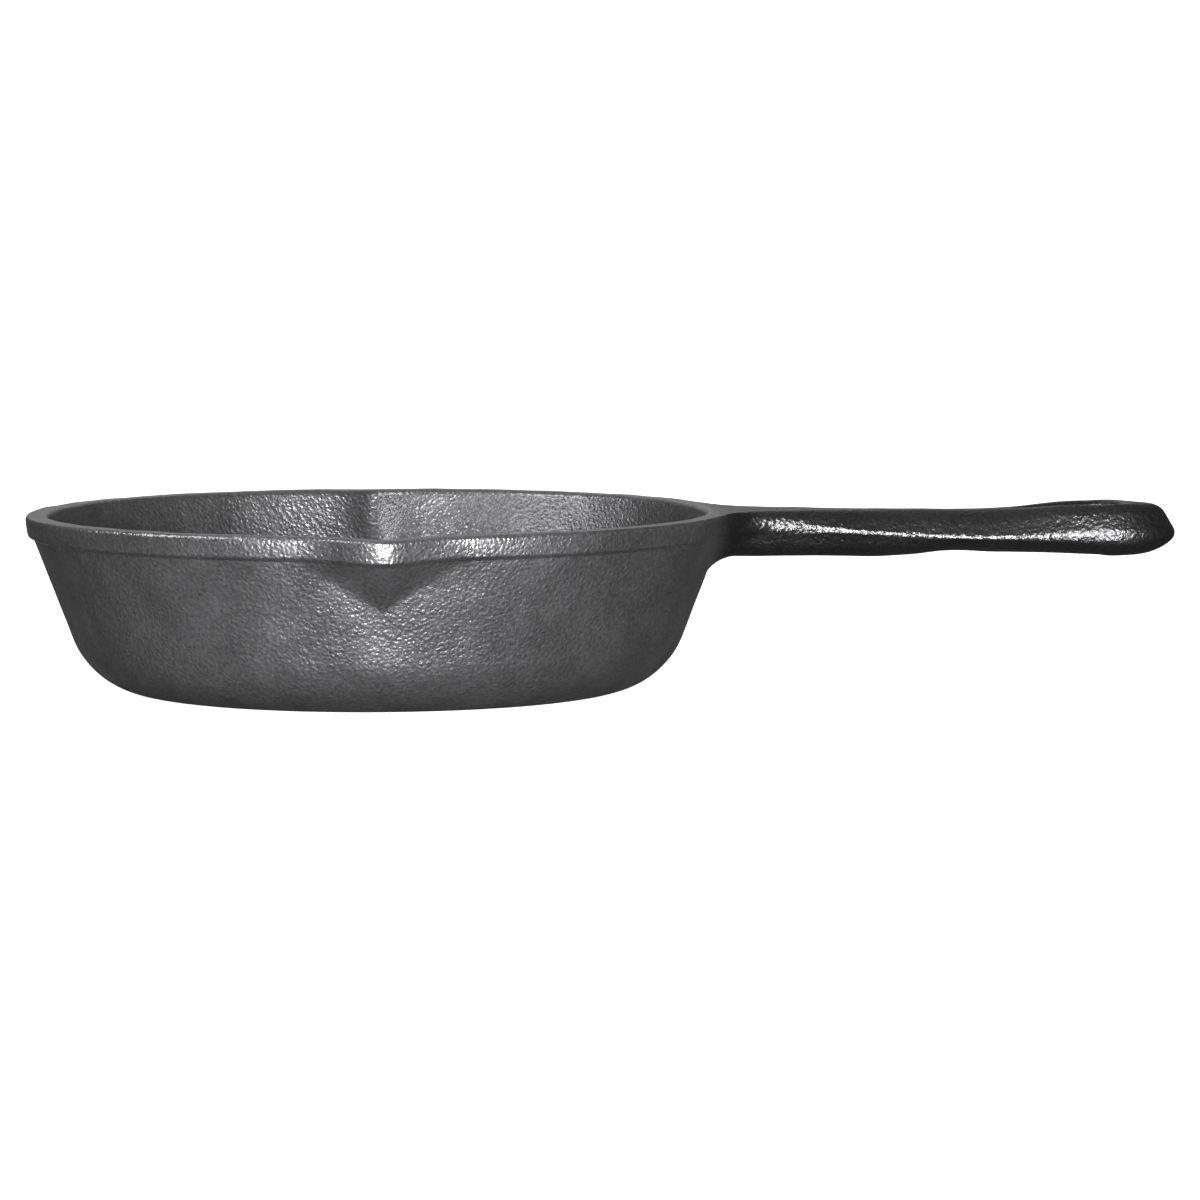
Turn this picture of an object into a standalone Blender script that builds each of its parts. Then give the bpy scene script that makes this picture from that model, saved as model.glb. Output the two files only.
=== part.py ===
"""A small cast iron skillet: one sand casting, modelled as the named features that it is made up of.

Metres, +Z up. The origin is on the pan's axis, on the plane that it stands on. The handle runs along +X,
and the two pour spouts face -Y (front) and +Y (rear). Every feature is its own closed solid, and a narrow
gap keeps each one clear of the next.
"""

import math

import bmesh
import bpy

MM = 0.001
GAP = 0.0003

# The pan.
RIM_RADIUS = 0.08255
RIM_INNER_RADIUS = 0.0775
RIM_HEIGHT = 0.042
RIM_EDGE_ROUND = 0.0011
BASE_RADIUS = 0.053
HEEL_RADIUS = 0.020
OUTER_SLOPE = math.radians(21.0)
FLOOR_THICKNESS = 0.004
FLOOR_FILLET = 0.014
INNER_SLOPE = math.radians(19.5)
FLOOR_CUT_RADIUS = 0.048

# The thicker band round the rim.
BAND_LOW = 0.036
BAND_STEP = 0.0008
BAND_STEP_RISE = 0.0007
BAND_SWELL = 0.00016

# The pour spouts: a V that opens upwards, outside and, as a narrower groove, inside.
SPOUT_REACH = 0.006
SPOUT_HALF_WIDTH = 0.020
SPOUT_LOW = 0.0245
SPOUT_DIP = 0.0005
GROOVE_REACH = 0.005
GROOVE_HALF_WIDTH = 0.011
GROOVE_LOW = 0.031
RIDGE_SOFTNESS = 0.15

# The handle.
TIP_X = 0.1884
ROOT_END_X = 0.098
SHANK_END_X = 0.144
EYE_CENTRE_X = 0.1695
EYE_RADIUS = 0.0062
EYE_POINT_X = 0.1515
EYE_POINT_RADIUS = 0.0012

# Sections along the handle: x, half width at the parting line, half width of the flat top, height of the
# top, of the parting line and of the underside, and half width of the underside. All in millimetres.
HANDLE_STATIONS_MM = (
    (72.0, 24.0, 21.0, 41.6, 39.9, 21.0, 15.0),
    (78.0, 20.0, 17.0, 41.9, 40.2, 26.0, 12.0),
    (82.0, 16.0, 13.2, 42.0, 40.4, 29.6, 9.5),
    (86.0, 13.2, 10.6, 42.1, 40.3, 30.7, 7.5),
    (91.0, 11.3, 8.2, 42.1, 39.6, 31.0, 6.0),
    (98.0, 10.2, 7.3, 41.9, 38.4, 31.0, 5.5),
    (108.0, 9.5, 7.0, 41.8, 37.4, 30.9, 5.0),
    (119.0, 9.1, 6.8, 41.7, 36.6, 30.7, 5.0),
    (125.0, 9.0, 6.6, 41.6, 36.1, 31.0, 5.0),
    (133.0, 9.0, 6.5, 41.6, 35.6, 31.9, 5.0),
    (144.0, 9.5, 6.7, 41.6, 35.4, 31.7, 5.3),
    (152.0, 10.7, 7.6, 42.1, 35.4, 31.5, 6.0),
    (160.0, 12.4, 9.3, 42.9, 35.4, 31.3, 7.2),
    (168.0, 13.7, 10.6, 43.1, 35.4, 31.0, 8.4),
    (175.0, 13.6, 10.4, 43.0, 35.4, 30.8, 8.2),
    (181.0, 11.4, 8.0, 42.6, 35.3, 31.2, 6.2),
    (185.0, 8.0, 5.0, 41.3, 35.2, 32.1, 4.0),
    (187.4, 4.6, 2.6, 39.4, 35.1, 33.2, 2.4),
    (188.4, 1.6, 1.0, 36.9, 35.1, 34.3, 1.0),
)
# Where the sections near the tip stand, closer together as the end rounds off.
TIP_SECTIONS_MM = (180.0, 183.0, 185.0, 186.5, 187.6)

# How round a handle section is above the parting line and below it: 0 is straight, 1 a quarter ellipse.
UPPER_ROUNDNESS = 0.55
LOWER_ROUNDNESS = 0.7

# Steps round a full turn, and round each quarter of a handle section.
TURN_STEPS = 72
SECTION_STEPS = 4
# Steps across a spout, an even number so that one falls on its middle, and up the wall below the band.
SPOUT_STEPS = 20
WALL_STEPS = 7
# Sections along the handle's root, its shank and its eye.
ROOT_STEPS = 14
SHANK_STEPS = 14
EYE_STEPS = 10
# The smallest angle between two faces, in degrees, that shows as an edge.
SHARP_ANGLE = 35.0
# How far each guide solid reaches past the shape that it trims.
CLEARANCE = 0.004
# How far each band's arc stops short of a spout's middle, in degrees. The window then trims it further.
BAND_INSET = 10.0
METALLIC = 0.35

# Each spout's side of the pan and what it is called there.
SPOUT_SIDES = ((-1.0, "front"), (1.0, "rear"))


def clear_scene():
    for obj in list(bpy.data.objects):
        bpy.data.objects.remove(obj, do_unlink=True)


def iron(name, colour, roughness):
    """Seasoned cast iron: a dark oil skin over grey iron."""
    material = bpy.data.materials.new(name)
    material.use_nodes = True
    shader = material.node_tree.nodes["Principled BSDF"]
    shader.inputs["Base Color"].default_value = (*colour, 1.0)
    shader.inputs["Roughness"].default_value = roughness
    shader.inputs["Metallic"].default_value = METALLIC
    material.diffuse_color = (*colour, 1.0)
    return material


def finish(name, bm, material):
    """Turns the bmesh into a named object with outward normals and smooth round faces."""
    bmesh.ops.recalc_face_normals(bm, faces=bm.faces)
    mesh = bpy.data.meshes.new(name)
    bm.to_mesh(mesh)
    bm.free()
    mesh.shade_smooth()
    mesh.set_sharp_from_angle(angle=math.radians(SHARP_ANGLE))
    if material:
        mesh.materials.append(material)
    obj = bpy.data.objects.new(name, mesh)
    bpy.context.scene.collection.objects.link(obj)
    return obj


def cut(obj, cutter, operation="DIFFERENCE"):
    """Adds a Boolean against a cutter, which stays in the scene as a hidden guide."""
    cutter.hide_render = True
    cutter.display_type = "WIRE"
    modifier = obj.modifiers.new(cutter.name, "BOOLEAN")
    modifier.operation = operation
    modifier.solver = "EXACT"
    modifier.object = cutter


def arc(centre, radius, start, end, steps):
    """Points (r, z) on an arc. The angles are in degrees, from the +r direction."""
    angles = [math.radians(start + (end - start) * k / steps) for k in range(steps + 1)]
    return [(centre[0] + radius * math.cos(a), centre[1] + radius * math.sin(a)) for a in angles]


def outer_radius(z):
    """Radius of the straight outside of the wall at height z."""
    heel_end = math.pi / 2 - OUTER_SLOPE
    start_r = BASE_RADIUS + HEEL_RADIUS * math.sin(heel_end)
    start_z = HEEL_RADIUS * (1.0 - math.cos(heel_end))
    return start_r + (z - start_z) * math.tan(OUTER_SLOPE)


def inner_radius(z):
    """Radius of the straight inside of the wall at height z."""
    return RIM_INNER_RADIUS - (RIM_HEIGHT - z) * math.tan(INNER_SLOPE)


def inner_heel():
    """The fillet between the cooking floor and the inside of the wall, from the floor up."""
    centre_z = FLOOR_THICKNESS + FLOOR_FILLET
    centre_r = inner_radius(centre_z) - FLOOR_FILLET / math.cos(INNER_SLOPE)
    return arc((centre_r, centre_z), FLOOR_FILLET, -90.0, -math.degrees(INNER_SLOPE), 6)


def outer_heel():
    """The round heel outside, from the base up."""
    return arc((BASE_RADIUS, HEEL_RADIUS), HEEL_RADIUS, -90.0, -math.degrees(OUTER_SLOPE), 7)


def band_outline(low):
    """The rim band's section above height low, from the bottom outside over the top to the inside."""
    foot = outer_radius(BAND_LOW)
    ledge = foot + BAND_STEP
    points = [(foot, low)] if low < BAND_LOW else []
    points.append((foot + 0.3 * BAND_STEP, max(low, BAND_LOW)))
    points.append((ledge, BAND_LOW + BAND_STEP_RISE))
    points.append((0.5 * (ledge + RIM_RADIUS) + BAND_SWELL, BAND_LOW + 3.0 * BAND_STEP_RISE))
    top = RIM_HEIGHT - RIM_EDGE_ROUND
    points += arc((RIM_RADIUS - RIM_EDGE_ROUND, top), RIM_EDGE_ROUND, 0.0, 90.0, 3)
    points += arc((RIM_INNER_RADIUS + RIM_EDGE_ROUND, top), RIM_EDGE_ROUND, 90.0, 150.0, 2)
    points.append((inner_radius(low), low))
    return points


def turned(name, outline, material, start=0.0, end=360.0, steps=None):
    """A closed (r, z) outline turned round the pan's axis, from one angle to another, in degrees."""
    bm = bmesh.new()
    turn = math.radians(start)
    verts = [bm.verts.new((r * math.cos(turn), r * math.sin(turn), z)) for r, z in outline]
    edges = [bm.edges.new((a, b)) for a, b in zip(verts, verts[1:] + verts[:1])]
    whole = end - start >= 360.0
    steps = steps or round(TURN_STEPS * (end - start) / 360.0)
    geometry = edges if whole else edges + [bm.faces.new(verts)]
    bmesh.ops.spin(
        bm,
        geom=verts + geometry,
        axis=(0.0, 0.0, 1.0),
        cent=(0.0, 0.0, 0.0),
        angle=math.radians(end - start),
        steps=steps,
        use_merge=whole,
    )
    return finish(name, bm, material)


def loft(name, sections, material):
    """A solid through a row of closed sections that all have the same number of points."""
    bm = bmesh.new()
    loops = [[bm.verts.new(point) for point in section] for section in sections]
    for near, far in zip(loops, loops[1:]):
        for k, corner in enumerate(near):
            after = (k + 1) % len(near)
            bm.faces.new((corner, near[after], far[after], far[k]))
    bm.faces.new(loops[0])
    bm.faces.new(loops[-1])
    return finish(name, bm, material)


def make_cooking_floor(material):
    bm = bmesh.new()
    bmesh.ops.create_circle(bm, cap_ends=True, radius=FLOOR_CUT_RADIUS, segments=TURN_STEPS)
    raised = bmesh.ops.extrude_face_region(bm, geom=bm.faces[:])
    top = [item for item in raised["geom"] if isinstance(item, bmesh.types.BMVert)]
    bmesh.ops.translate(bm, verts=top, vec=(0.0, 0.0, FLOOR_THICKNESS))
    finish("cooking_floor", bm, material)


def make_heel(material):
    """The round bend between the floor and the wall."""
    inner_start = FLOOR_CUT_RADIUS + GAP
    inner_edge = [(inner_start, FLOOR_THICKNESS), (inner_start, 0.0)]
    outline = outer_heel() + inner_heel()[::-1] + inner_edge
    turned("heel", outline, material)


def spout_window(name, side, margin):
    """The V-shaped window that a spout fills, grown by margin. side is -1 at the front and 1 at the rear."""
    wide = SPOUT_HALF_WIDTH + margin
    low = SPOUT_LOW - 2.0 * margin
    above = RIM_HEIGHT + CLEARANCE
    shoulder = BAND_LOW - margin
    outline = [(0.0, low), (wide, shoulder), (wide, above), (-wide, above), (-wide, shoulder)]
    nearest = BASE_RADIUS
    furthest = RIM_RADIUS + SPOUT_REACH + CLEARANCE
    return loft(name, [[(x, side * y, z) for x, z in outline] for y in (nearest, furthest)], None)


def ridge(distance, half_width):
    """A rounded V across a spout: 1 along its middle and 0 from half_width outwards."""
    if half_width <= 0.0:
        return 0.0
    share = min(1.0, abs(distance) / half_width)
    edge = math.hypot(1.0, RIDGE_SOFTNESS)
    return (edge - math.hypot(share, RIDGE_SOFTNESS)) / (edge - RIDGE_SOFTNESS)


def wall_outline(low, high):
    """The straight wall's section between two heights, square across at its ends."""
    outside = [(outer_radius(low), low), (outer_radius(high), high)]
    return outside + [(inner_radius(high), high), (inner_radius(low), low)]


def make_side_wall(material):
    """The straight wall, from the heel up to the band. Its top is open where the spouts come through."""
    low_z = outer_heel()[-1][1]
    outline = wall_outline(low_z, BAND_LOW - 0.5 * GAP)
    outline[-1] = inner_heel()[-1]
    lean = GAP * math.sin(OUTER_SLOPE), GAP * math.cos(OUTER_SLOPE)
    outline[0] = (outline[0][0] + lean[0], outline[0][1] + lean[1])
    outline[-1] = (outline[-1][0] + lean[0], outline[-1][1] + lean[1])
    wall = turned("side_wall", outline, material)
    for side, place in SPOUT_SIDES:
        cut(wall, spout_window(place + "_wall_window", side, GAP))


def make_rim_bands(material):
    """The thick band round the rim, in one arc opposite the handle and one at the handle."""
    outline = band_outline(BAND_LOW + 0.5 * GAP)
    for name, middle in (("rim_band_handle_side", 0.0), ("rim_band_far_side", 180.0)):
        half_turn = 90.0 - BAND_INSET
        band = turned(name, outline, material, middle - half_turn, middle + half_turn)
        for side, place in SPOUT_SIDES:
            cut(band, spout_window(place + "_" + name + "_window", side, GAP))


def spout_shift(x, z, outside):
    """How far a spout moves a point of the plain wall: outwards, and down."""
    low = SPOUT_LOW if outside else GROOVE_LOW
    reach = SPOUT_REACH if outside else GROOVE_REACH
    wide = SPOUT_HALF_WIDTH if outside else GROOVE_HALF_WIDTH
    rise = min(1.0, max(0.0, (z - low) / (BAND_LOW - low)))
    top = min(1.0, max(0.0, (z - BAND_LOW) / (RIM_HEIGHT - BAND_LOW)))
    return reach * rise * ridge(x, wide * rise), SPOUT_DIP * top * ridge(x, SPOUT_HALF_WIDTH)


def spout_outline():
    """Wall and band in one section, with points close enough up the wall for the V to bend it."""
    low = SPOUT_LOW - CLEARANCE / 2.0
    heights = [low + (BAND_LOW - low) * k / WALL_STEPS for k in range(WALL_STEPS)]
    outside = [(outer_radius(z), z) for z in heights]
    inside = [(inner_radius(z), z) for z in heights]
    return outside + band_outline(BAND_LOW)[:-1] + [(inner_radius(BAND_LOW), BAND_LOW)] + inside[::-1]


def make_spout(side, place, material):
    """The wall and band pushed out into a V, trimmed to the window that they fill."""
    middle = 90.0 * side
    half_width = SPOUT_HALF_WIDTH + CLEARANCE / 2.0
    half_turn = math.degrees(math.asin(half_width / inner_radius(SPOUT_LOW)))
    ends = middle - half_turn, middle + half_turn
    spout = turned(place + "_pour_spout", spout_outline(), material, *ends, steps=SPOUT_STEPS)
    for vertex in spout.data.vertices:
        x, y, z = vertex.co
        radius = math.hypot(x, y)
        rim_middle = 0.5 * (outer_radius(z) + inner_radius(z))
        out, down = spout_shift(x, z, radius > rim_middle)
        vertex.co = (x, y + side * out, z - down)
    cut(spout, spout_window(place + "_spout_outline", side, 0.0), "INTERSECT")


def slope(low, high, column):
    """How steeply one size changes between two stations, or 0 past either end of the handle."""
    run = high[0] - low[0]
    return (high[column] - low[column]) / run if run > 0.0 else 0.0


def station_at(x):
    """The handle's section sizes at x, by a smooth curve through the stations."""
    rows = [[value * MM for value in row] for row in HANDLE_STATIONS_MM]
    k = max(i for i, row in enumerate(rows[:-1]) if row[0] <= x or i == 0)
    before, here, after, beyond = (rows[min(max(j, 0), len(rows) - 1)] for j in range(k - 1, k + 3))
    run = after[0] - here[0]
    share = (x - here[0]) / run
    sizes = []
    for column in range(1, len(here)):
        rise = after[column] - here[column]
        leave = slope(before, after, column) * run
        arrive = slope(here, beyond, column) * run
        square = 3.0 * rise - 2.0 * leave - arrive
        cube = leave + arrive - 2.0 * rise
        sizes.append(here[column] + leave * share + square * share**2 + cube * share**3)
    return sizes


def bend(share, roundness):
    """A point on a quarter section's curve, straight to round: how far across, and how far down."""
    turn = 0.5 * math.pi * share
    straight = (1.0 - roundness) * share
    return roundness * math.sin(turn) + straight, roundness * (1.0 - math.cos(turn)) + straight


def handle_section(x):
    """One closed section: flat top, sides swelling to the parting line, and a narrower round underside."""
    half_width, top_half, top_z, parting_z, under_z, under_half = station_at(x)
    side = []
    for k in range(SECTION_STEPS + 1):
        across, down = bend(k / SECTION_STEPS, UPPER_ROUNDNESS)
        y = top_half + (half_width - top_half) * across
        side.append((y, top_z - (top_z - parting_z) * down))
    for k in range(1, SECTION_STEPS + 1):
        down, across = bend(k / SECTION_STEPS, LOWER_ROUNDNESS)
        y = half_width - (half_width - under_half) * across
        side.append((y, parting_z - (parting_z - under_z) * down))
    return [(x, y, z) for y, z in side] + [(x, -y, z) for y, z in reversed(side)]


def handle_length(name, start, end, steps, material):
    places = [start + (end - start) * k / steps for k in range(steps + 1)]
    return loft(name, [handle_section(x) for x in places], material)


def pan_envelope():
    """The outside of the pan grown by the gap, to trim the handle's root to it."""
    outline = outer_heel() + band_outline(BAND_LOW)[:-3]
    above = RIM_HEIGHT + CLEARANCE
    grown = [(r + GAP, z) for r, z in outline] + [(RIM_RADIUS + GAP, above)]
    inside = 0.5 * BASE_RADIUS
    return turned("root_trim", [(inside, 0.0)] + grown + [(inside, above)], None)


def make_handle_root(material):
    """The flared root, which runs level into the rim and is filleted to the wall below."""
    root = handle_length("handle_root", HANDLE_STATIONS_MM[0][0] * MM, ROOT_END_X, ROOT_STEPS, material)
    cut(root, pan_envelope())


def make_handle_shank(material):
    handle_length("handle_shank", ROOT_END_X + GAP, SHANK_END_X, SHANK_STEPS, material)


def teardrop(z):
    """The outline of the hanging hole: a round end, and a narrow end that points at the pan."""
    run = EYE_CENTRE_X - EYE_POINT_X
    lean = math.degrees(math.asin((EYE_RADIUS - EYE_POINT_RADIUS) / run))
    big = arc((EYE_CENTRE_X, 0.0), EYE_RADIUS, -90.0 - lean, 90.0 + lean, 16)
    small = arc((EYE_POINT_X, 0.0), EYE_POINT_RADIUS, 90.0 + lean, 270.0 - lean, 4)
    return [(x, y, z) for x, y in big + small]


def make_hanging_eye(material):
    """The widened end of the handle, with the hole that it hangs by."""
    start = SHANK_END_X + GAP
    tip_sections = [place * MM for place in TIP_SECTIONS_MM]
    places = [start + (tip_sections[0] - start) * k / EYE_STEPS for k in range(EYE_STEPS)]
    places += tip_sections + [TIP_X]
    eye = loft("hanging_eye", [handle_section(x) for x in places], material)
    cut(eye, loft("eye_hole", [teardrop(z) for z in (0.5 * RIM_HEIGHT, 1.5 * RIM_HEIGHT)], None))


def main():
    clear_scene()
    cooking_iron = iron("cooking_surface_iron", (0.030, 0.030, 0.031), 0.42)
    wall_iron = iron("wall_iron", (0.036, 0.036, 0.038), 0.52)
    rim_iron = iron("rim_iron", (0.040, 0.040, 0.041), 0.45)
    spout_iron = iron("spout_iron", (0.038, 0.038, 0.040), 0.48)
    handle_iron = iron("handle_iron", (0.026, 0.026, 0.027), 0.38)
    make_cooking_floor(cooking_iron)
    make_heel(wall_iron)
    make_side_wall(wall_iron)
    make_rim_bands(rim_iron)
    for side, place in SPOUT_SIDES:
        make_spout(side, place, spout_iron)
    make_handle_root(handle_iron)
    make_handle_shank(handle_iron)
    make_hanging_eye(handle_iron)


main()
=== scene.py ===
"""A small seasoned cast iron skillet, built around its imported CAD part.

The real skillet is one sand casting, so its whole shape is written as one field: how far, in millimetres, a
point lies outside the iron. The field is meshed once, and plane cuts divide that mesh into the casting's
named features, so the surface runs on from each piece to the next.
"""

import math

import bmesh
import bpy
import numpy as np
from mathutils import Matrix, Vector


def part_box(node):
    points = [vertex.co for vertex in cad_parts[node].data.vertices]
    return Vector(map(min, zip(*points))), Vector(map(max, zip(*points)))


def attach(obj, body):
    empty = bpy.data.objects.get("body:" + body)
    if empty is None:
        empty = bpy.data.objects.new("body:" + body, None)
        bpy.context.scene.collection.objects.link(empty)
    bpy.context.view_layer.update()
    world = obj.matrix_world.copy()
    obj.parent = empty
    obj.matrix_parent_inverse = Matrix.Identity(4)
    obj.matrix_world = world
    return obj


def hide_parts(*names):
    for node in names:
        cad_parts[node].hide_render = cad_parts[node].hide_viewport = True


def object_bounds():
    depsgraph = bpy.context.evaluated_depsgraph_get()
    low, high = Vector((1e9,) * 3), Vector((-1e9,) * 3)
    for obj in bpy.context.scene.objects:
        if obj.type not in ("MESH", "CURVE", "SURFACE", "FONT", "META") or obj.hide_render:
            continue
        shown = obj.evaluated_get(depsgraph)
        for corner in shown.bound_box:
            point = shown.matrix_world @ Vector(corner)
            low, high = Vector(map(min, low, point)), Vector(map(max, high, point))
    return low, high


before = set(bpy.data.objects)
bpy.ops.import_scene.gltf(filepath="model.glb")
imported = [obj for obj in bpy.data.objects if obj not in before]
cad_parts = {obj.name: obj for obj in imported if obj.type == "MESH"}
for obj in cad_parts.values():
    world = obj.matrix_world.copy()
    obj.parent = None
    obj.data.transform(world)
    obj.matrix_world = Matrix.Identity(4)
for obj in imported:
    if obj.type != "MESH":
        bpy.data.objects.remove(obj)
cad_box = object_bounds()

MM = 0.001


def low(node, axis):
    """The lowest coordinate of a CAD node along an axis, in millimetres."""
    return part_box(node)[0][axis] / MM


def high(node, axis):
    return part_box(node)[1][axis] / MM


# Where planes cut the casting into pieces, beside the CAD nodes' own ends.
BASE_PIECE_TOP = 13.0
UPPER_WALL_LOW = low("front_pour_spout", 2) - 0.5

# The pan, in millimetres.
RIM_RADIUS = -low("rim_band_far_side", 0)
RIM_HEIGHT = high("rim_band_far_side", 2)
RIM_WIDTH = 5.05
RIM_EDGE = 1.1
BASE_RADIUS = 53.0
HEEL_RADIUS = 20.0
OUTER_SLOPE = math.radians(21.0)
FLOOR_THICKNESS = high("cooking_floor", 2)
FLOOR_FILLET = 14.0
INNER_SLOPE = math.radians(19.5)
BAND_LOW = low("rim_band_far_side", 2)
BAND_STEP = 1.1
BAND_STEP_RISE = 1.1
BAND_TAPER = 0.215
BAND_SWELL = 0.15
BAND_DIP = 0.8

# The spouts: a V pushed out of the wall, and a narrower groove inside it.
SPOUT_REACH = -low("front_pour_spout", 1) - RIM_RADIUS
SPOUT_HALF_WIDTH = 20.0
SPOUT_LOW = low("front_pour_spout", 2)
SPOUT_DIP = 0.5
SPOUT_LEAN = 1.3
GROOVE_REACH = 5.0
GROOVE_HALF_WIDTH = 6.5
GROOVE_LOW = 22.0
RIDGE_SOFTNESS = 0.38
RIDGE_EASE = 2.1

# The handle. Inside the pan its shape starts at HANDLE_START_X, and its upper flanks at BEVEL_START_X.
HANDLE_START_X = 68.0
BEVEL_START_X = 74.0
ROOT_START_X = 80.3
ROOT_END_X = high("handle_root", 0)
SHANK_END_X = high("handle_shank", 0)
TIP_X = high("hanging_eye", 0)
TIP_ROUNDING = 0.6
EYE_HALF_WIDTH = high("hanging_eye", 1)
EYE_X = 171.5
HOLE_X = 169.5
HOLE_RADIUS = 6.2
HOLE_POINT_X = 151.5
HOLE_POINT_RADIUS = 1.2
HOLE_EDGE = 1.1
LIP_HEIGHT = 0.3
LIP_START_X = 143.0
LIP_OFFSET = 3.1
LIP_WIDTH = 1.9
BELLY_ROUND = 3.5
UNDER_FILLET = 5.0
RIM_FILLET = 11.0
FILLET_GROWS_FROM = 31.0
FILLET_GROWS_TO = 40.0

# How the handle's section changes along it: (x, size) pairs, joined by smooth curves.
TOP_HEIGHT = (
    (70, 42.0), (88, 42.1), (100, 42.0), (115, 41.9), (130, 41.8), (144, 41.8), (153, 42.15),
    (161, 42.65), (168, 42.8), (180, 42.85),
)
TOP_HALF = (
    (70, 60.0), (76, 37.0), (78.5, 27.5), (81, 19.6), (86, 11.5), (91, 8.8), (98, 7.8), (106, 6.8),
    (116, 5.4), (128, 4.8), (144, 5.0), (153, 6.6), (162, 9.4), (172, 10.4),
)
ARRIS_HEIGHT = (
    (76, 41.2), (86, 40.3), (91, 39.5), (98, 38.4), (110, 37.3), (119, 36.6), (129, 35.9),
    (138, 35.5), (146, 35.4), (172, 35.6),
)
ARRIS_HALF = (
    (76, 12.5), (86, 11.5), (91, 11.0), (98, 10.2), (108, 9.5), (119, 9.1), (133, 9.0), (144, 9.6),
    (153, 11.0), (162, 12.9), (172, 13.8),
)
ARRIS_FLARE = (
    (70, 50.0), (76, 26.5), (78.5, 16.5), (81, 9.0), (86, 1.8), (91, 0.4), (98, 0.0), (110, 0.0),
)
ARRIS_EDGE = (
    (74, 2.5), (81, 3.0), (93, 2.5), (106, 1.1), (130, 0.9), (150, 1.1), (163, 2.0), (178, 2.1),
    (187, 1.4),
)
UNDER_HEIGHT = (
    (70, 31.0), (91, 31.0), (108, 30.9), (118, 30.7), (126, 31.1), (134, 31.9), (144, 31.7),
    (160, 31.3), (172, 30.8),
)
UNDER_HALF = ((70, 6.0), (91, 6.0), (108, 5.2), (133, 5.2), (144, 6.0), (160, 8.3), (172, 10.2))
TOP_EDGE = ((70, 1.1), (84, 1.1), (98, 1.8), (118, 3.0), (140, 3.0), (156, 2.6), (172, 2.0))

# The casting's unevenness: how many waves it is made of, their lengths and their height.
WAVES = 14
SHORTEST_WAVE = 7.0
LONGEST_WAVE = 22.0
WAVE_HEIGHT = 0.012

# The iron's looks. Tones are how much light it reflects; a pebble is how high the mould's grain stands.
IRON_TINT = (1.0, 1.0, 1.03)
PAN_TONE = 0.10
HANDLE_TONE = 0.024
PAN_ROUGHNESS = 0.38
HANDLE_ROUGHNESS = 0.37
METALLIC = 0.9
HANDLE_LOOK_STARTS_X = 77.0
HANDLE_LOOK_WHOLE_X = 83.0
WEAR_REACH = 0.45
WEAR_GAIN = 0.9
PEBBLE_DEPTH = 0.12

# The studio: each softbox has a place, a size and a power.
ROOM_LIGHT = 0.08
BACKDROP = 1.05
FLOOR_BOUNCE = 0.04
FLOOR_GLOW = 0.8
OVERHEAD_STRENGTH = 0.5
SOFTBOXES = (
    ("front_softbox", (0.10, -1.88, 0.20), (0.6, 0.38), 245.0),
    ("left_softbox", (-0.98, -0.15, 0.90), (0.5, 0.5), 11.0),
    ("back_softbox", (-0.10, 1.90, 0.75), (1.2, 0.9), 2.2),
)
AIM = (0.0, 0.0, 0.03)

# The camera: its place in metres, and its turns in degrees.
CAMERA_PLACE = (-0.018124, -1.495436, 0.146758)
CAMERA_LENS = 191.1
CAMERA_YAW = -2.6944
CAMERA_PITCH = 4.8127
CAMERA_ROLL = -0.1809

# How far apart the mesh's points are.
STEP = 0.55


def curve(points, x):
    """A smooth curve through (x, size) pairs, level beyond its ends."""
    xs, ys = np.array(points, float).T
    x = np.clip(x, xs[0], xs[-1])
    slopes = np.gradient(ys, xs)
    k = np.clip(np.searchsorted(xs, x, side="right") - 1, 0, len(xs) - 2)
    run = xs[k + 1] - xs[k]
    t = (x - xs[k]) / run
    start, end = ys[k], ys[k + 1]
    leave, arrive = slopes[k] * run, slopes[k + 1] * run
    rise = end - start
    return start + t * (leave + t * (3 * rise - 2 * leave - arrive + t * (leave + arrive - 2 * rise)))


def both(a, b, radius):
    """What two shapes share, with the edge between them rounded."""
    beyond = np.hypot(np.maximum(a + radius, 0), np.maximum(b + radius, 0))
    return np.minimum(np.maximum(a, b), -radius) + beyond


def either(a, b, radius):
    """Two shapes together, with a fillet in the corner between them."""
    return -both(-a, -b, radius)


def bend(r, z, corner_r, corner_z, radius, slope):
    """Distance outside a floor that turns up through an arc into a wall that leans outwards."""
    across, up = r - corner_r, z - corner_z
    floor = -up - radius
    wall = across * math.cos(slope) - up * math.sin(slope) - radius
    turn = np.arctan2(up, across)
    in_arc = (turn > -math.pi / 2) & (turn < -slope)
    return np.where(in_arc, np.hypot(across, up) - radius, np.maximum(floor, wall))


def ridge(distance, half_width):
    """A rounded V: 1 along its middle, easing out to 0 at half_width."""
    share = np.minimum(1, np.abs(distance) / half_width)
    edge = math.hypot(1, RIDGE_SOFTNESS)
    return ((edge - np.hypot(share, RIDGE_SOFTNESS)) / (edge - RIDGE_SOFTNESS)) ** RIDGE_EASE


def smooth(value, start, end):
    """0 before start, 1 after end, and a smooth rise between."""
    t = np.clip((value - start) / (end - start), 0, 1)
    return t * t * (3 - 2 * t)


def spout_push(x, z):
    """How far a spout moves the outer wall outwards."""
    rise = np.clip((z - SPOUT_LOW) / (BAND_LOW - SPOUT_LOW), 1e-3, 1)
    return SPOUT_REACH * rise**SPOUT_LEAN * ridge(x, SPOUT_HALF_WIDTH * rise)


def groove_push(x, z):
    """How far a spout's soft groove moves the inner wall outwards."""
    rise = np.clip((z - GROOVE_LOW) / (RIM_HEIGHT - GROOVE_LOW), 0, 1)
    return GROOVE_REACH * rise * (2 - rise) / (1 + (x / GROOVE_HALF_WIDTH) ** 2) ** 1.5


def pan_radius(x, y, push):
    return np.hypot(x, np.abs(y) - push)


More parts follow.
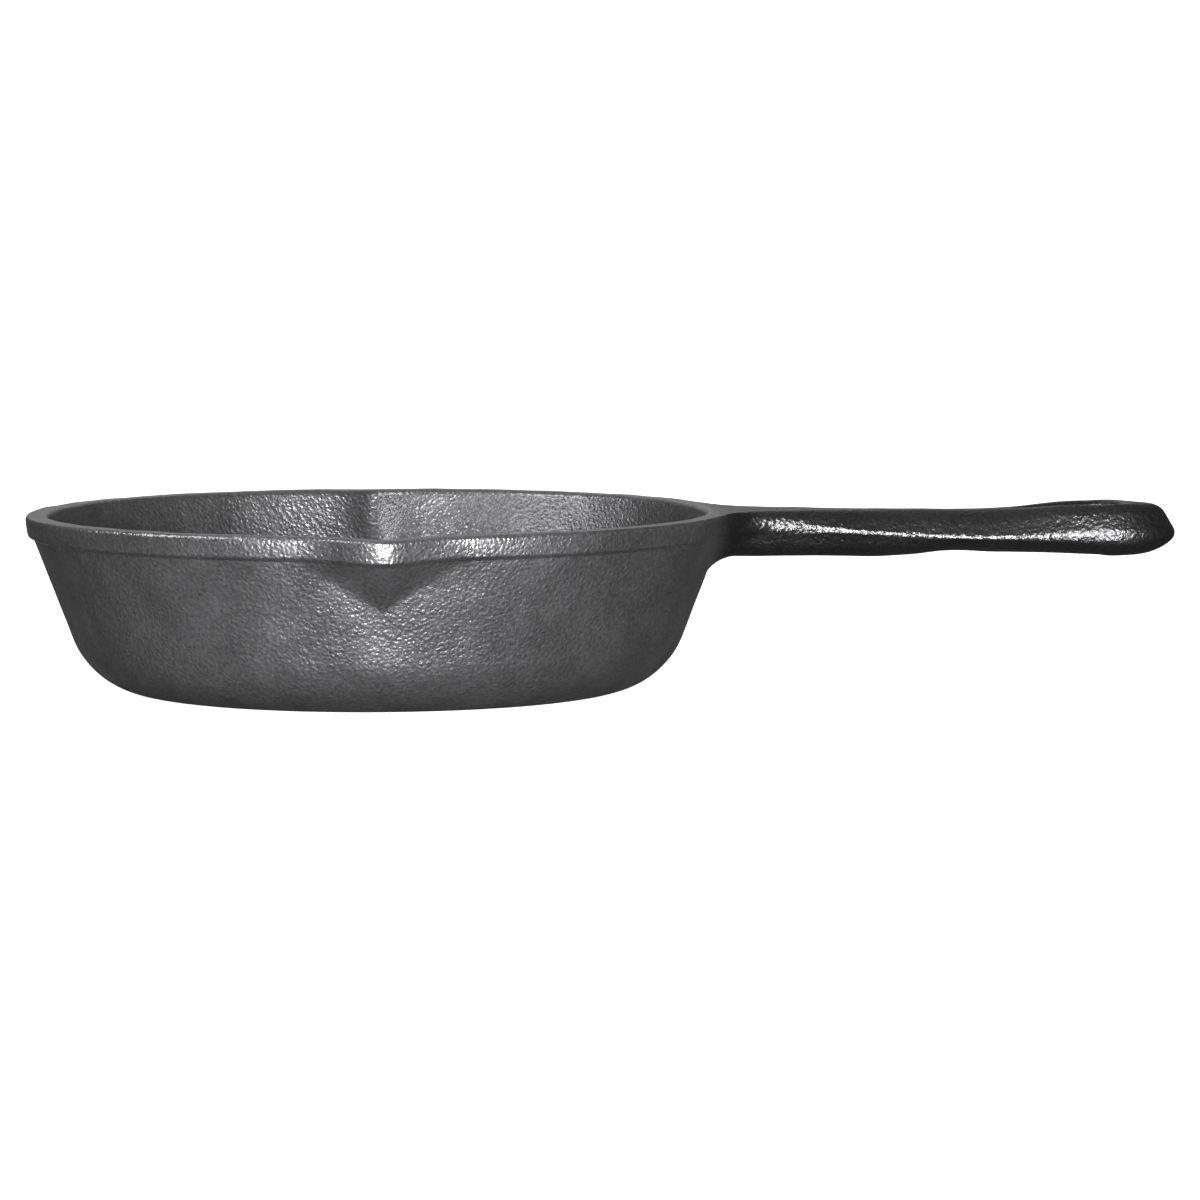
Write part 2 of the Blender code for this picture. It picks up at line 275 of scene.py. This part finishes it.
def pan_outside(x, y, z):
    """The pan's outer wall, heel and base, and the band that stands proud of the wall round the rim."""
    push = spout_push(x, z)
    wall = bend(pan_radius(x, y, push), z, BASE_RADIUS, HEEL_RADIUS, HEEL_RADIUS, OUTER_SLOPE)
    band_low = BAND_LOW - BAND_DIP * ridge(x, SPOUT_HALF_WIDTH)
    up_band = np.clip((z - band_low) / (RIM_HEIGHT - band_low), 0, 1)
    step = BAND_STEP * smooth(z, band_low, band_low + BAND_STEP_RISE)
    return wall - step + BAND_TAPER * np.maximum(z - band_low, 0) - 4 * BAND_SWELL * up_band * (1 - up_band)


def cavity(x, y, z):
    """The inside of the pan: negative in the air above the cooking floor."""
    push = groove_push(x, z)
    corner_z = FLOOR_THICKNESS + FLOOR_FILLET
    rim_inside = RIM_RADIUS - RIM_WIDTH
    wall_r = rim_inside - (RIM_HEIGHT - corner_z) * math.tan(INNER_SLOPE)
    corner_r = wall_r - FLOOR_FILLET / math.cos(INNER_SLOPE)
    return bend(pan_radius(x, y, push), z, corner_r, corner_z, FLOOR_FILLET, INNER_SLOPE)


def hole_distance(x, y):
    """Distance outside the teardrop hanging hole, seen from above."""
    run = HOLE_X - HOLE_POINT_X
    lean = (HOLE_RADIUS - HOLE_POINT_RADIUS) / run
    upright = math.sqrt(1 - lean * lean)
    across, along = np.abs(y), HOLE_X - x
    place = along * upright - across * lean
    side = across * upright + along * lean - HOLE_RADIUS
    big = np.hypot(across, along) - HOLE_RADIUS
    small = np.hypot(across, along - run) - HOLE_POINT_RADIUS
    return np.where(place < 0, big, np.where(place > upright * run, small, side))


def top_height(x, y):
    """The height of the rim's and the handle's upper face."""
    dip = SPOUT_DIP * ridge(x, SPOUT_HALF_WIDTH)
    bead = np.exp(-(((hole_distance(x, y) - LIP_OFFSET) / LIP_WIDTH) ** 2))
    lip = LIP_HEIGHT * smooth(x, LIP_START_X, EYE_X) * bead
    return np.where(x < ROOT_START_X, RIM_HEIGHT - dip, curve(TOP_HEIGHT, x) + lip)


def handle_across(x, y):
    """Distance from the handle's centre line, measured so that the tip closes in a half ellipse."""
    past_eye = np.maximum(x - EYE_X, 0) * EYE_HALF_WIDTH / (TIP_X + TIP_ROUNDING - EYE_X)
    return np.hypot(y, past_eye)


def handle_below(x, across, z):
    """The handle's underside and its lower flanks, below the parting line."""
    half, arris = curve(ARRIS_HALF, x), curve(ARRIS_HEIGHT, x)
    under_half, under = curve(UNDER_HALF, x), curve(UNDER_HEIGHT, x)
    run, rise = half - under_half, arris - under
    flank = ((across - half) * rise - (z - arris) * run) / np.hypot(run, rise)
    return both(flank, under - z, BELLY_ROUND)


def handle_bevel(x, across, z):
    """The handle's upper flanks, from the flat top down to the parting line."""
    half, arris = curve(ARRIS_HALF, x) + curve(ARRIS_FLARE, x), curve(ARRIS_HEIGHT, x)
    top_half, top = curve(TOP_HALF, x), curve(TOP_HEIGHT, x)
    run, rise = half - top_half, top - arris
    bevel = ((across - half) * rise + (z - arris) * run) / np.hypot(run, rise)
    return np.where(x < BEVEL_START_X, -RIM_WIDTH, bevel)


def undulation(x, y, z):
    """The slight unevenness of a sand casting, as a few long waves in fixed random directions."""
    chance = np.random.default_rng(7)
    total = 0.0
    for _ in range(WAVES):
        direction = chance.normal(size=3)
        direction /= np.linalg.norm(direction)
        wave = 2 * math.pi / chance.uniform(SHORTEST_WAVE, LONGEST_WAVE)
        phase = chance.uniform(0, 2 * math.pi)
        total = total + np.sin(wave * (direction[0] * x + direction[1] * y + direction[2] * z) + phase)
    return WAVE_HEIGHT * total * smooth(z, 0, 4)


def casting(x, y, z):
    """Distance outside the whole skillet."""
    across = handle_across(x, y)
    grown = smooth(z, FILLET_GROWS_FROM, FILLET_GROWS_TO)
    fillet = UNDER_FILLET + (RIM_FILLET - UNDER_FILLET) * grown
    handle = both(handle_below(x, across, z), HANDLE_START_X - x, BELLY_ROUND)
    body = either(pan_outside(x, y, z), handle, fillet)
    body = both(body, handle_bevel(x, across, z), curve(ARRIS_EDGE, x))
    body = both(body, z - top_height(x, y), curve(TOP_EDGE, x))
    body = both(body, -hole_distance(x, y), HOLE_EDGE)
    body = both(body, -cavity(x, y, z), RIM_EDGE)
    return body - undulation(x, y, z)


def gradient(points, reach=0.02):
    """Which way and how fast the field rises at each point."""
    slopes = np.empty_like(points)
    for axis in range(3):
        ahead, behind = points.copy(), points.copy()
        ahead[:, axis] += reach
        behind[:, axis] -= reach
        slopes[:, axis] = (casting(*ahead.T) - casting(*behind.T)) / (2 * reach)
    return slopes


def unit(vectors):
    return vectors / np.linalg.norm(vectors, axis=1, keepdims=True)


def sampled_field(axes):
    y, z = np.meshgrid(axes[1], axes[2], indexing="ij")
    return np.stack([casting(np.full_like(y, x), y, z) for x in axes[0]])


def surface_net():
    """Points on the casting's surface, and the four-sided faces between them.

    Each cell of a grid that the surface passes through gets one point, at the middle of its
    crossings. Each grid edge that crosses the surface gets a face between the four cells round it.
    """
    lowest = np.array(cad_box[0]) / MM - 4 * STEP
    highest = np.array(cad_box[1]) / MM + 4 * STEP
    axes = [np.arange(lowest[k], highest[k], STEP) for k in range(3)]
    field = sampled_field(axes)
    inside = field < 0
    shape = np.array(field.shape)
    strides = np.array([shape[1] * shape[2], shape[2], 1])
    cell_ids, crossings, corners = [], [], []
    for axis in range(3):
        behind = [slice(1, -1)] * 3
        ahead = [slice(1, -1)] * 3
        behind[axis], ahead[axis] = slice(1, -2), slice(2, -1)
        changes = inside[tuple(behind)] != inside[tuple(ahead)]
        at = np.argwhere(changes) + 1
        start = field[tuple(at.T)]
        step = np.eye(3, dtype=int)[axis]
        end = field[tuple((at + step).T)]
        place = at + step * (start / (start - end))[:, None]
        one, two = np.eye(3, dtype=int)[(axis + 1) % 3], np.eye(3, dtype=int)[(axis + 2) % 3]
        around = np.stack([at - one - two, at - two, at, at - one], axis=1)
        around[start > 0] = around[start > 0, ::-1]
        ids = around @ strides
        corners.append(ids)
        cell_ids.append(ids.ravel())
        crossings.append(np.repeat(place, 4, axis=0))
    cell_ids, crossings = np.concatenate(cell_ids), np.concatenate(crossings)
    cells, index = np.unique(cell_ids, return_inverse=True)
    count = np.bincount(index)
    points = np.stack([np.bincount(index, crossings[:, k]) / count for k in range(3)], axis=1)
    faces = np.searchsorted(cells, np.concatenate(corners))
    return points * STEP + lowest, faces


def settle(points, rounds=4):
    """Moves each point straight onto the surface."""
    for _ in range(rounds):
        slopes = gradient(points)
        distance = casting(*points.T)
        move = distance / np.maximum((slopes**2).sum(axis=1), 0.25)
        points = points - np.clip(move, -STEP, STEP)[:, None] * slopes
    return points


def whole_mesh():
    points, faces = surface_net()
    points = settle(points)
    mesh = bpy.data.meshes.new("whole_casting")
    mesh.from_pydata(points * MM, [], faces.tolist(), shade_flat=False)
    bm = bmesh.new()
    bm.from_mesh(mesh)
    bpy.data.meshes.remove(mesh)
    return bm


def halved(bm, axis, place, keep_high):
    """The part of the mesh on one side of a plane, closed with flat faces along the cut."""
    half = bm.copy()
    normal = Vector((0, 0, 0))
    normal[axis] = 1.0
    point = Vector((0, 0, 0))
    point[axis] = place * MM
    geometry = half.verts[:] + half.edges[:] + half.faces[:]
    found = bmesh.ops.bisect_plane(
        half,
        geom=geometry,
        dist=1e-9,
        plane_co=point,
        plane_no=normal,
        clear_inner=keep_high,
        clear_outer=not keep_high,
    )
    rim = [item for item in found["geom_cut"] if isinstance(item, bmesh.types.BMEdge)]
    filled = bmesh.ops.triangle_fill(half, edges=rim, use_beauty=False)
    caps = [item for item in filled["geom"] if isinstance(item, bmesh.types.BMFace)]
    for face in caps:
        face.smooth = False
        outward = face.normal[axis] < 0 if keep_high else face.normal[axis] > 0
        if not outward:
            face.normal_flip()
    return half


def divided(bm, axis, place):
    """Both parts of the mesh, below the plane and above it."""
    return halved(bm, axis, place, False), halved(bm, axis, place, True)


def edge_wear(points):
    """How sharply the surface turns outwards at each point, from 0 to 1: where hands and cloths rub."""
    turning = -6 * casting(*points.T)
    for step in WEAR_REACH * np.eye(3):
        turning = turning + casting(*(points + step).T) + casting(*(points - step).T)
    return np.clip(turning / WEAR_REACH**2 * WEAR_GAIN, 0, 1)


def corner_normals(mesh, point_normals):
    """The field's normals on the casting's surface, and flat ones on the cuts."""
    corner_points = np.empty(len(mesh.loops), np.int32)
    mesh.loops.foreach_get("vertex_index", corner_points)
    normals = point_normals[corner_points]
    sides = np.empty(len(mesh.polygons), np.int32)
    curved = np.empty(len(mesh.polygons), bool)
    face_normals = np.empty(len(mesh.polygons) * 3)
    mesh.polygons.foreach_get("loop_total", sides)
    mesh.polygons.foreach_get("use_smooth", curved)
    mesh.polygons.foreach_get("normal", face_normals)
    on_cut = np.repeat(~curved, sides)
    normals[on_cut] = np.repeat(face_normals.reshape(-1, 3), sides, axis=0)[on_cut]
    return normals


def add_piece(name, bm, material, replaced):
    """Makes a closed piece of the casting, shaded by the field's own normals."""
    mesh = bpy.data.meshes.new(name)
    bm.to_mesh(mesh)
    bm.free()
    points = np.empty(len(mesh.vertices) * 3)
    mesh.vertices.foreach_get("co", points)
    points = points.reshape(-1, 3) / MM
    normals = unit(gradient(points))
    attribute = mesh.attributes.new("edge_wear", "FLOAT", "POINT")
    attribute.data.foreach_set("value", edge_wear(points).astype(np.float32))
    mesh.normals_split_custom_set(corner_normals(mesh, normals))
    mesh.materials.append(material)
    piece = bpy.data.objects.new(name, mesh)
    bpy.context.scene.collection.objects.link(piece)
    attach(piece, "root")
    if replaced:
        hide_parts(*replaced)


def seasoned_iron(name):
    """Cast iron under a baked oil skin: pebbled by the sand mould, mottled, and worn shinier along its edges.

    The handle is darker, glossier and more coarsely pebbled than the pan, and fades into it across the root.
    """
    material = bpy.data.materials.new(name)
    material.use_nodes = True
    nodes, links = material.node_tree.nodes, material.node_tree.links
    shader = nodes["Principled BSDF"]
    place = nodes.new("ShaderNodeTexCoord").outputs["Object"]

    def noise(size, detail, rough=0.5):
        texture = nodes.new("ShaderNodeTexNoise")
        texture.inputs["Scale"].default_value = 1.0 / (size * MM)
        texture.inputs["Detail"].default_value = detail
        texture.inputs["Roughness"].default_value = rough
        links.new(place, texture.inputs["Vector"])
        return texture.outputs["Fac"]

    def pebbled(size):
        cells = nodes.new("ShaderNodeTexVoronoi")
        cells.feature = "SMOOTH_F1"
        cells.inputs["Scale"].default_value = 1.0 / (size * MM)
        cells.inputs["Smoothness"].default_value = 0.5
        links.new(place, cells.inputs["Vector"])
        return maths("SUBTRACT", 1.0, cells.outputs["Distance"])

    def spread(source, start, end, to_low, to_high, kind="LINEAR"):
        ranged = nodes.new("ShaderNodeMapRange")
        ranged.interpolation_type = kind
        ends = {"From Min": start, "From Max": end, "To Min": to_low, "To Max": to_high}
        for socket, value in ends.items():
            ranged.inputs[socket].default_value = value
        links.new(source, ranged.inputs["Value"])
        return ranged.outputs["Result"]

    def maths(operation, first, second):
        node = nodes.new("ShaderNodeMath")
        node.operation = operation
        for socket, value in zip(node.inputs, (first, second)):
            if isinstance(value, float):
                socket.default_value = value
            else:
                links.new(value, socket)
        return node.outputs["Value"]

    def blend(share, first, second):
        """first where share is 0 and second where it is 1."""
        return maths("ADD", first, maths("MULTIPLY", share, maths("SUBTRACT", second, first)))

    wear_node = nodes.new("ShaderNodeAttribute")
    wear_node.attribute_name = "edge_wear"
    wear = wear_node.outputs["Fac"]
    axes = nodes.new("ShaderNodeSeparateXYZ")
    links.new(place, axes.inputs["Vector"])
    start, whole = HANDLE_LOOK_STARTS_X * MM, HANDLE_LOOK_WHOLE_X * MM
    handle = spread(axes.outputs["X"], start, whole, 0.0, 1.0, "SMOOTHSTEP")
    mottle = noise(11.0, 3.0, 0.55)
    speck = noise(0.9, 2.0)

    tone = blend(handle, PAN_TONE, HANDLE_TONE)
    tone = maths("MULTIPLY", tone, spread(mottle, 0.3, 0.7, 0.9, 1.1))
    tone = maths("MULTIPLY", tone, spread(speck, 0.3, 0.7, 0.75, 1.25))
    tone = maths("MULTIPLY", tone, maths("ADD", maths("MULTIPLY", wear, 0.3), 1.0))
    scaled = nodes.new("ShaderNodeVectorMath")
    scaled.operation = "SCALE"
    scaled.inputs[0].default_value = IRON_TINT
    links.new(tone, scaled.inputs["Scale"])
    links.new(scaled.outputs["Vector"], shader.inputs["Base Color"])

    rough = blend(handle, PAN_ROUGHNESS, HANDLE_ROUGHNESS)
    rough = maths("ADD", rough, spread(mottle, 0.3, 0.7, -0.03, 0.03))
    links.new(maths("SUBTRACT", rough, maths("MULTIPLY", wear, 0.10)), shader.inputs["Roughness"])

    fine = maths("ADD", pebbled(0.9), maths("MULTIPLY", noise(0.65, 2.0, 0.6), 1.3))
    coarse = maths("ADD", pebbled(1.2), maths("MULTIPLY", noise(0.65, 2.0, 0.6), 1.3))
    relief = blend(handle, fine, maths("MULTIPLY", coarse, 1.5))
    bump = nodes.new("ShaderNodeBump")
    bump.inputs["Strength"].default_value = 1.0
    bump.inputs["Distance"].default_value = PEBBLE_DEPTH * MM
    links.new(relief, bump.inputs["Height"])
    links.new(bump.outputs["Normal"], shader.inputs["Normal"])

    shader.inputs["Metallic"].default_value = METALLIC
    return material


def build_casting():
    wall_iron = seasoned_iron("wall_iron")
    cooking_iron = seasoned_iron("cooking_surface_iron")
    rim_iron = seasoned_iron("rim_iron")
    handle_iron = seasoned_iron("handle_iron")

    rest = whole_mesh()
    base, rest = divided(rest, 2, BASE_PIECE_TOP)
    rest, handle = divided(rest, 0, ROOT_START_X)
    root, handle = divided(handle, 0, ROOT_END_X)
    shank, eye = divided(handle, 0, SHANK_END_X)
    lower_wall, upper = divided(rest, 2, UPPER_WALL_LOW)
    far, upper = divided(upper, 0, -SPOUT_HALF_WIDTH)
    spouts, near = divided(upper, 0, SPOUT_HALF_WIDTH)
    front_spout, rear_spout = divided(spouts, 1, 0.0)
    far_wall, far_band = divided(far, 2, BAND_LOW)
    near_wall, near_band = divided(near, 2, BAND_LOW)

    add_piece("cast_base_and_heel", base, cooking_iron, ("cooking_floor", "heel"))
    add_piece("cast_lower_wall", lower_wall, wall_iron, ("side_wall",))
    add_piece("cast_upper_wall_far_side", far_wall, wall_iron, ())
    add_piece("cast_upper_wall_handle_side", near_wall, wall_iron, ())
    add_piece("cast_rim_band_far_side", far_band, rim_iron, ("rim_band_far_side",))
    add_piece("cast_rim_band_handle_side", near_band, rim_iron, ("rim_band_handle_side",))
    add_piece("cast_front_pour_spout", front_spout, wall_iron, ("front_pour_spout",))
    add_piece("cast_rear_pour_spout", rear_spout, wall_iron, ("rear_pour_spout",))
    add_piece("cast_handle_root", root, handle_iron, ("handle_root",))
    add_piece("cast_handle_shank", shank, handle_iron, ("handle_shank",))
    add_piece("cast_hanging_eye", eye, handle_iron, ("hanging_eye",))


def by_camera(owner, lighting, visible, output):
    """Shows the camera one shader, and lights the skillet by another."""
    nodes, links = owner.node_tree.nodes, owner.node_tree.links
    mix = nodes.new("ShaderNodeMixShader")
    links.new(nodes.new("ShaderNodeLightPath").outputs["Is Camera Ray"], mix.inputs["Fac"])
    links.new(lighting, mix.inputs[1])
    links.new(visible, mix.inputs[2])
    links.new(mix.outputs["Shader"], output.inputs["Surface"])


def build_floor():
    """A floor that looks white to the camera, and reflects only a faint sheen onto the skillet."""
    material = bpy.data.materials.new("pale_floor")
    material.use_nodes = True
    nodes = material.node_tree.nodes
    pale = nodes["Principled BSDF"]
    pale.inputs["Base Color"].default_value = (0.90, 0.90, 0.90, 1.0)
    pale.inputs["Roughness"].default_value = 0.9
    pale.inputs["Emission Color"].default_value = (1.0, 1.0, 1.0, 1.0)
    pale.inputs["Emission Strength"].default_value = FLOOR_GLOW
    dim = nodes.new("ShaderNodeBsdfPrincipled")
    dim.inputs["Base Color"].default_value = (FLOOR_BOUNCE, FLOOR_BOUNCE, FLOOR_BOUNCE, 1.0)
    dim.inputs["Roughness"].default_value = 0.30
    by_camera(material, dim.outputs["BSDF"], pale.outputs["BSDF"], nodes["Material Output"])
    bm = bmesh.new()
    bmesh.ops.create_circle(bm, cap_ends=True, radius=12.0, segments=96)
    mesh = bpy.data.meshes.new("floor")
    bm.to_mesh(mesh)
    bm.free()
    mesh.materials.append(material)
    floor = bpy.data.objects.new("floor", mesh)
    floor.location = (0.0, 0.0, -0.0001)
    bpy.context.scene.collection.objects.link(floor)


def build_camera():
    """The camera looks a little down on the rim, from 1.5 m in front of the pan."""
    camera = bpy.data.cameras.new("camera")
    camera.sensor_width = 36.0
    camera.lens = CAMERA_LENS
    holder = bpy.data.objects.new("camera", camera)
    bpy.context.scene.collection.objects.link(holder)
    turn = (
        Matrix.Rotation(math.radians(CAMERA_YAW), 4, "Z")
        @ Matrix.Rotation(math.radians(90 - CAMERA_PITCH), 4, "X")
        @ Matrix.Rotation(math.radians(CAMERA_ROLL), 4, "Z")
    )
    holder.matrix_world = Matrix.Translation(CAMERA_PLACE) @ turn
    bpy.context.scene.camera = holder


def softbox(name, place, size, power):
    light = bpy.data.lights.new(name, "AREA")
    light.shape = "RECTANGLE"
    light.size, light.size_y = size
    light.energy = power
    holder = bpy.data.objects.new(name, light)
    holder.location = place
    holder.rotation_euler = (Vector(AIM) - Vector(place)).to_track_quat("-Z", "Y").to_euler()
    bpy.context.scene.collection.objects.link(holder)


def build_world():
    """A dim, even studio whose backdrop the camera sees as white."""
    world = bpy.data.worlds.new("studio")
    bpy.context.scene.world = world
    world.use_nodes = True
    nodes = world.node_tree.nodes
    room, backdrop = nodes["Background"], nodes.new("ShaderNodeBackground")
    for light, strength in ((room, ROOM_LIGHT), (backdrop, BACKDROP)):
        light.inputs["Color"].default_value = (1.0, 1.0, 1.0, 1.0)
        light.inputs["Strength"].default_value = strength
    by_camera(world, room.outputs["Background"], backdrop.outputs["Background"], nodes["World Output"])


def overhead_light():
    light = bpy.data.lights.new("overhead", "SUN")
    light.energy = OVERHEAD_STRENGTH
    light.angle = math.radians(70.0)
    holder = bpy.data.objects.new("overhead", light)
    holder.rotation_euler = (math.radians(-12.0), math.radians(-8.0), 0.0)
    bpy.context.scene.collection.objects.link(holder)


def build_light():
    build_world()
    overhead_light()
    for name, place, size, power in SOFTBOXES:
        softbox(name, place, size, power)
    bpy.context.scene.view_settings.view_transform = "Standard"


build_casting()
build_floor()
build_camera()
build_light()
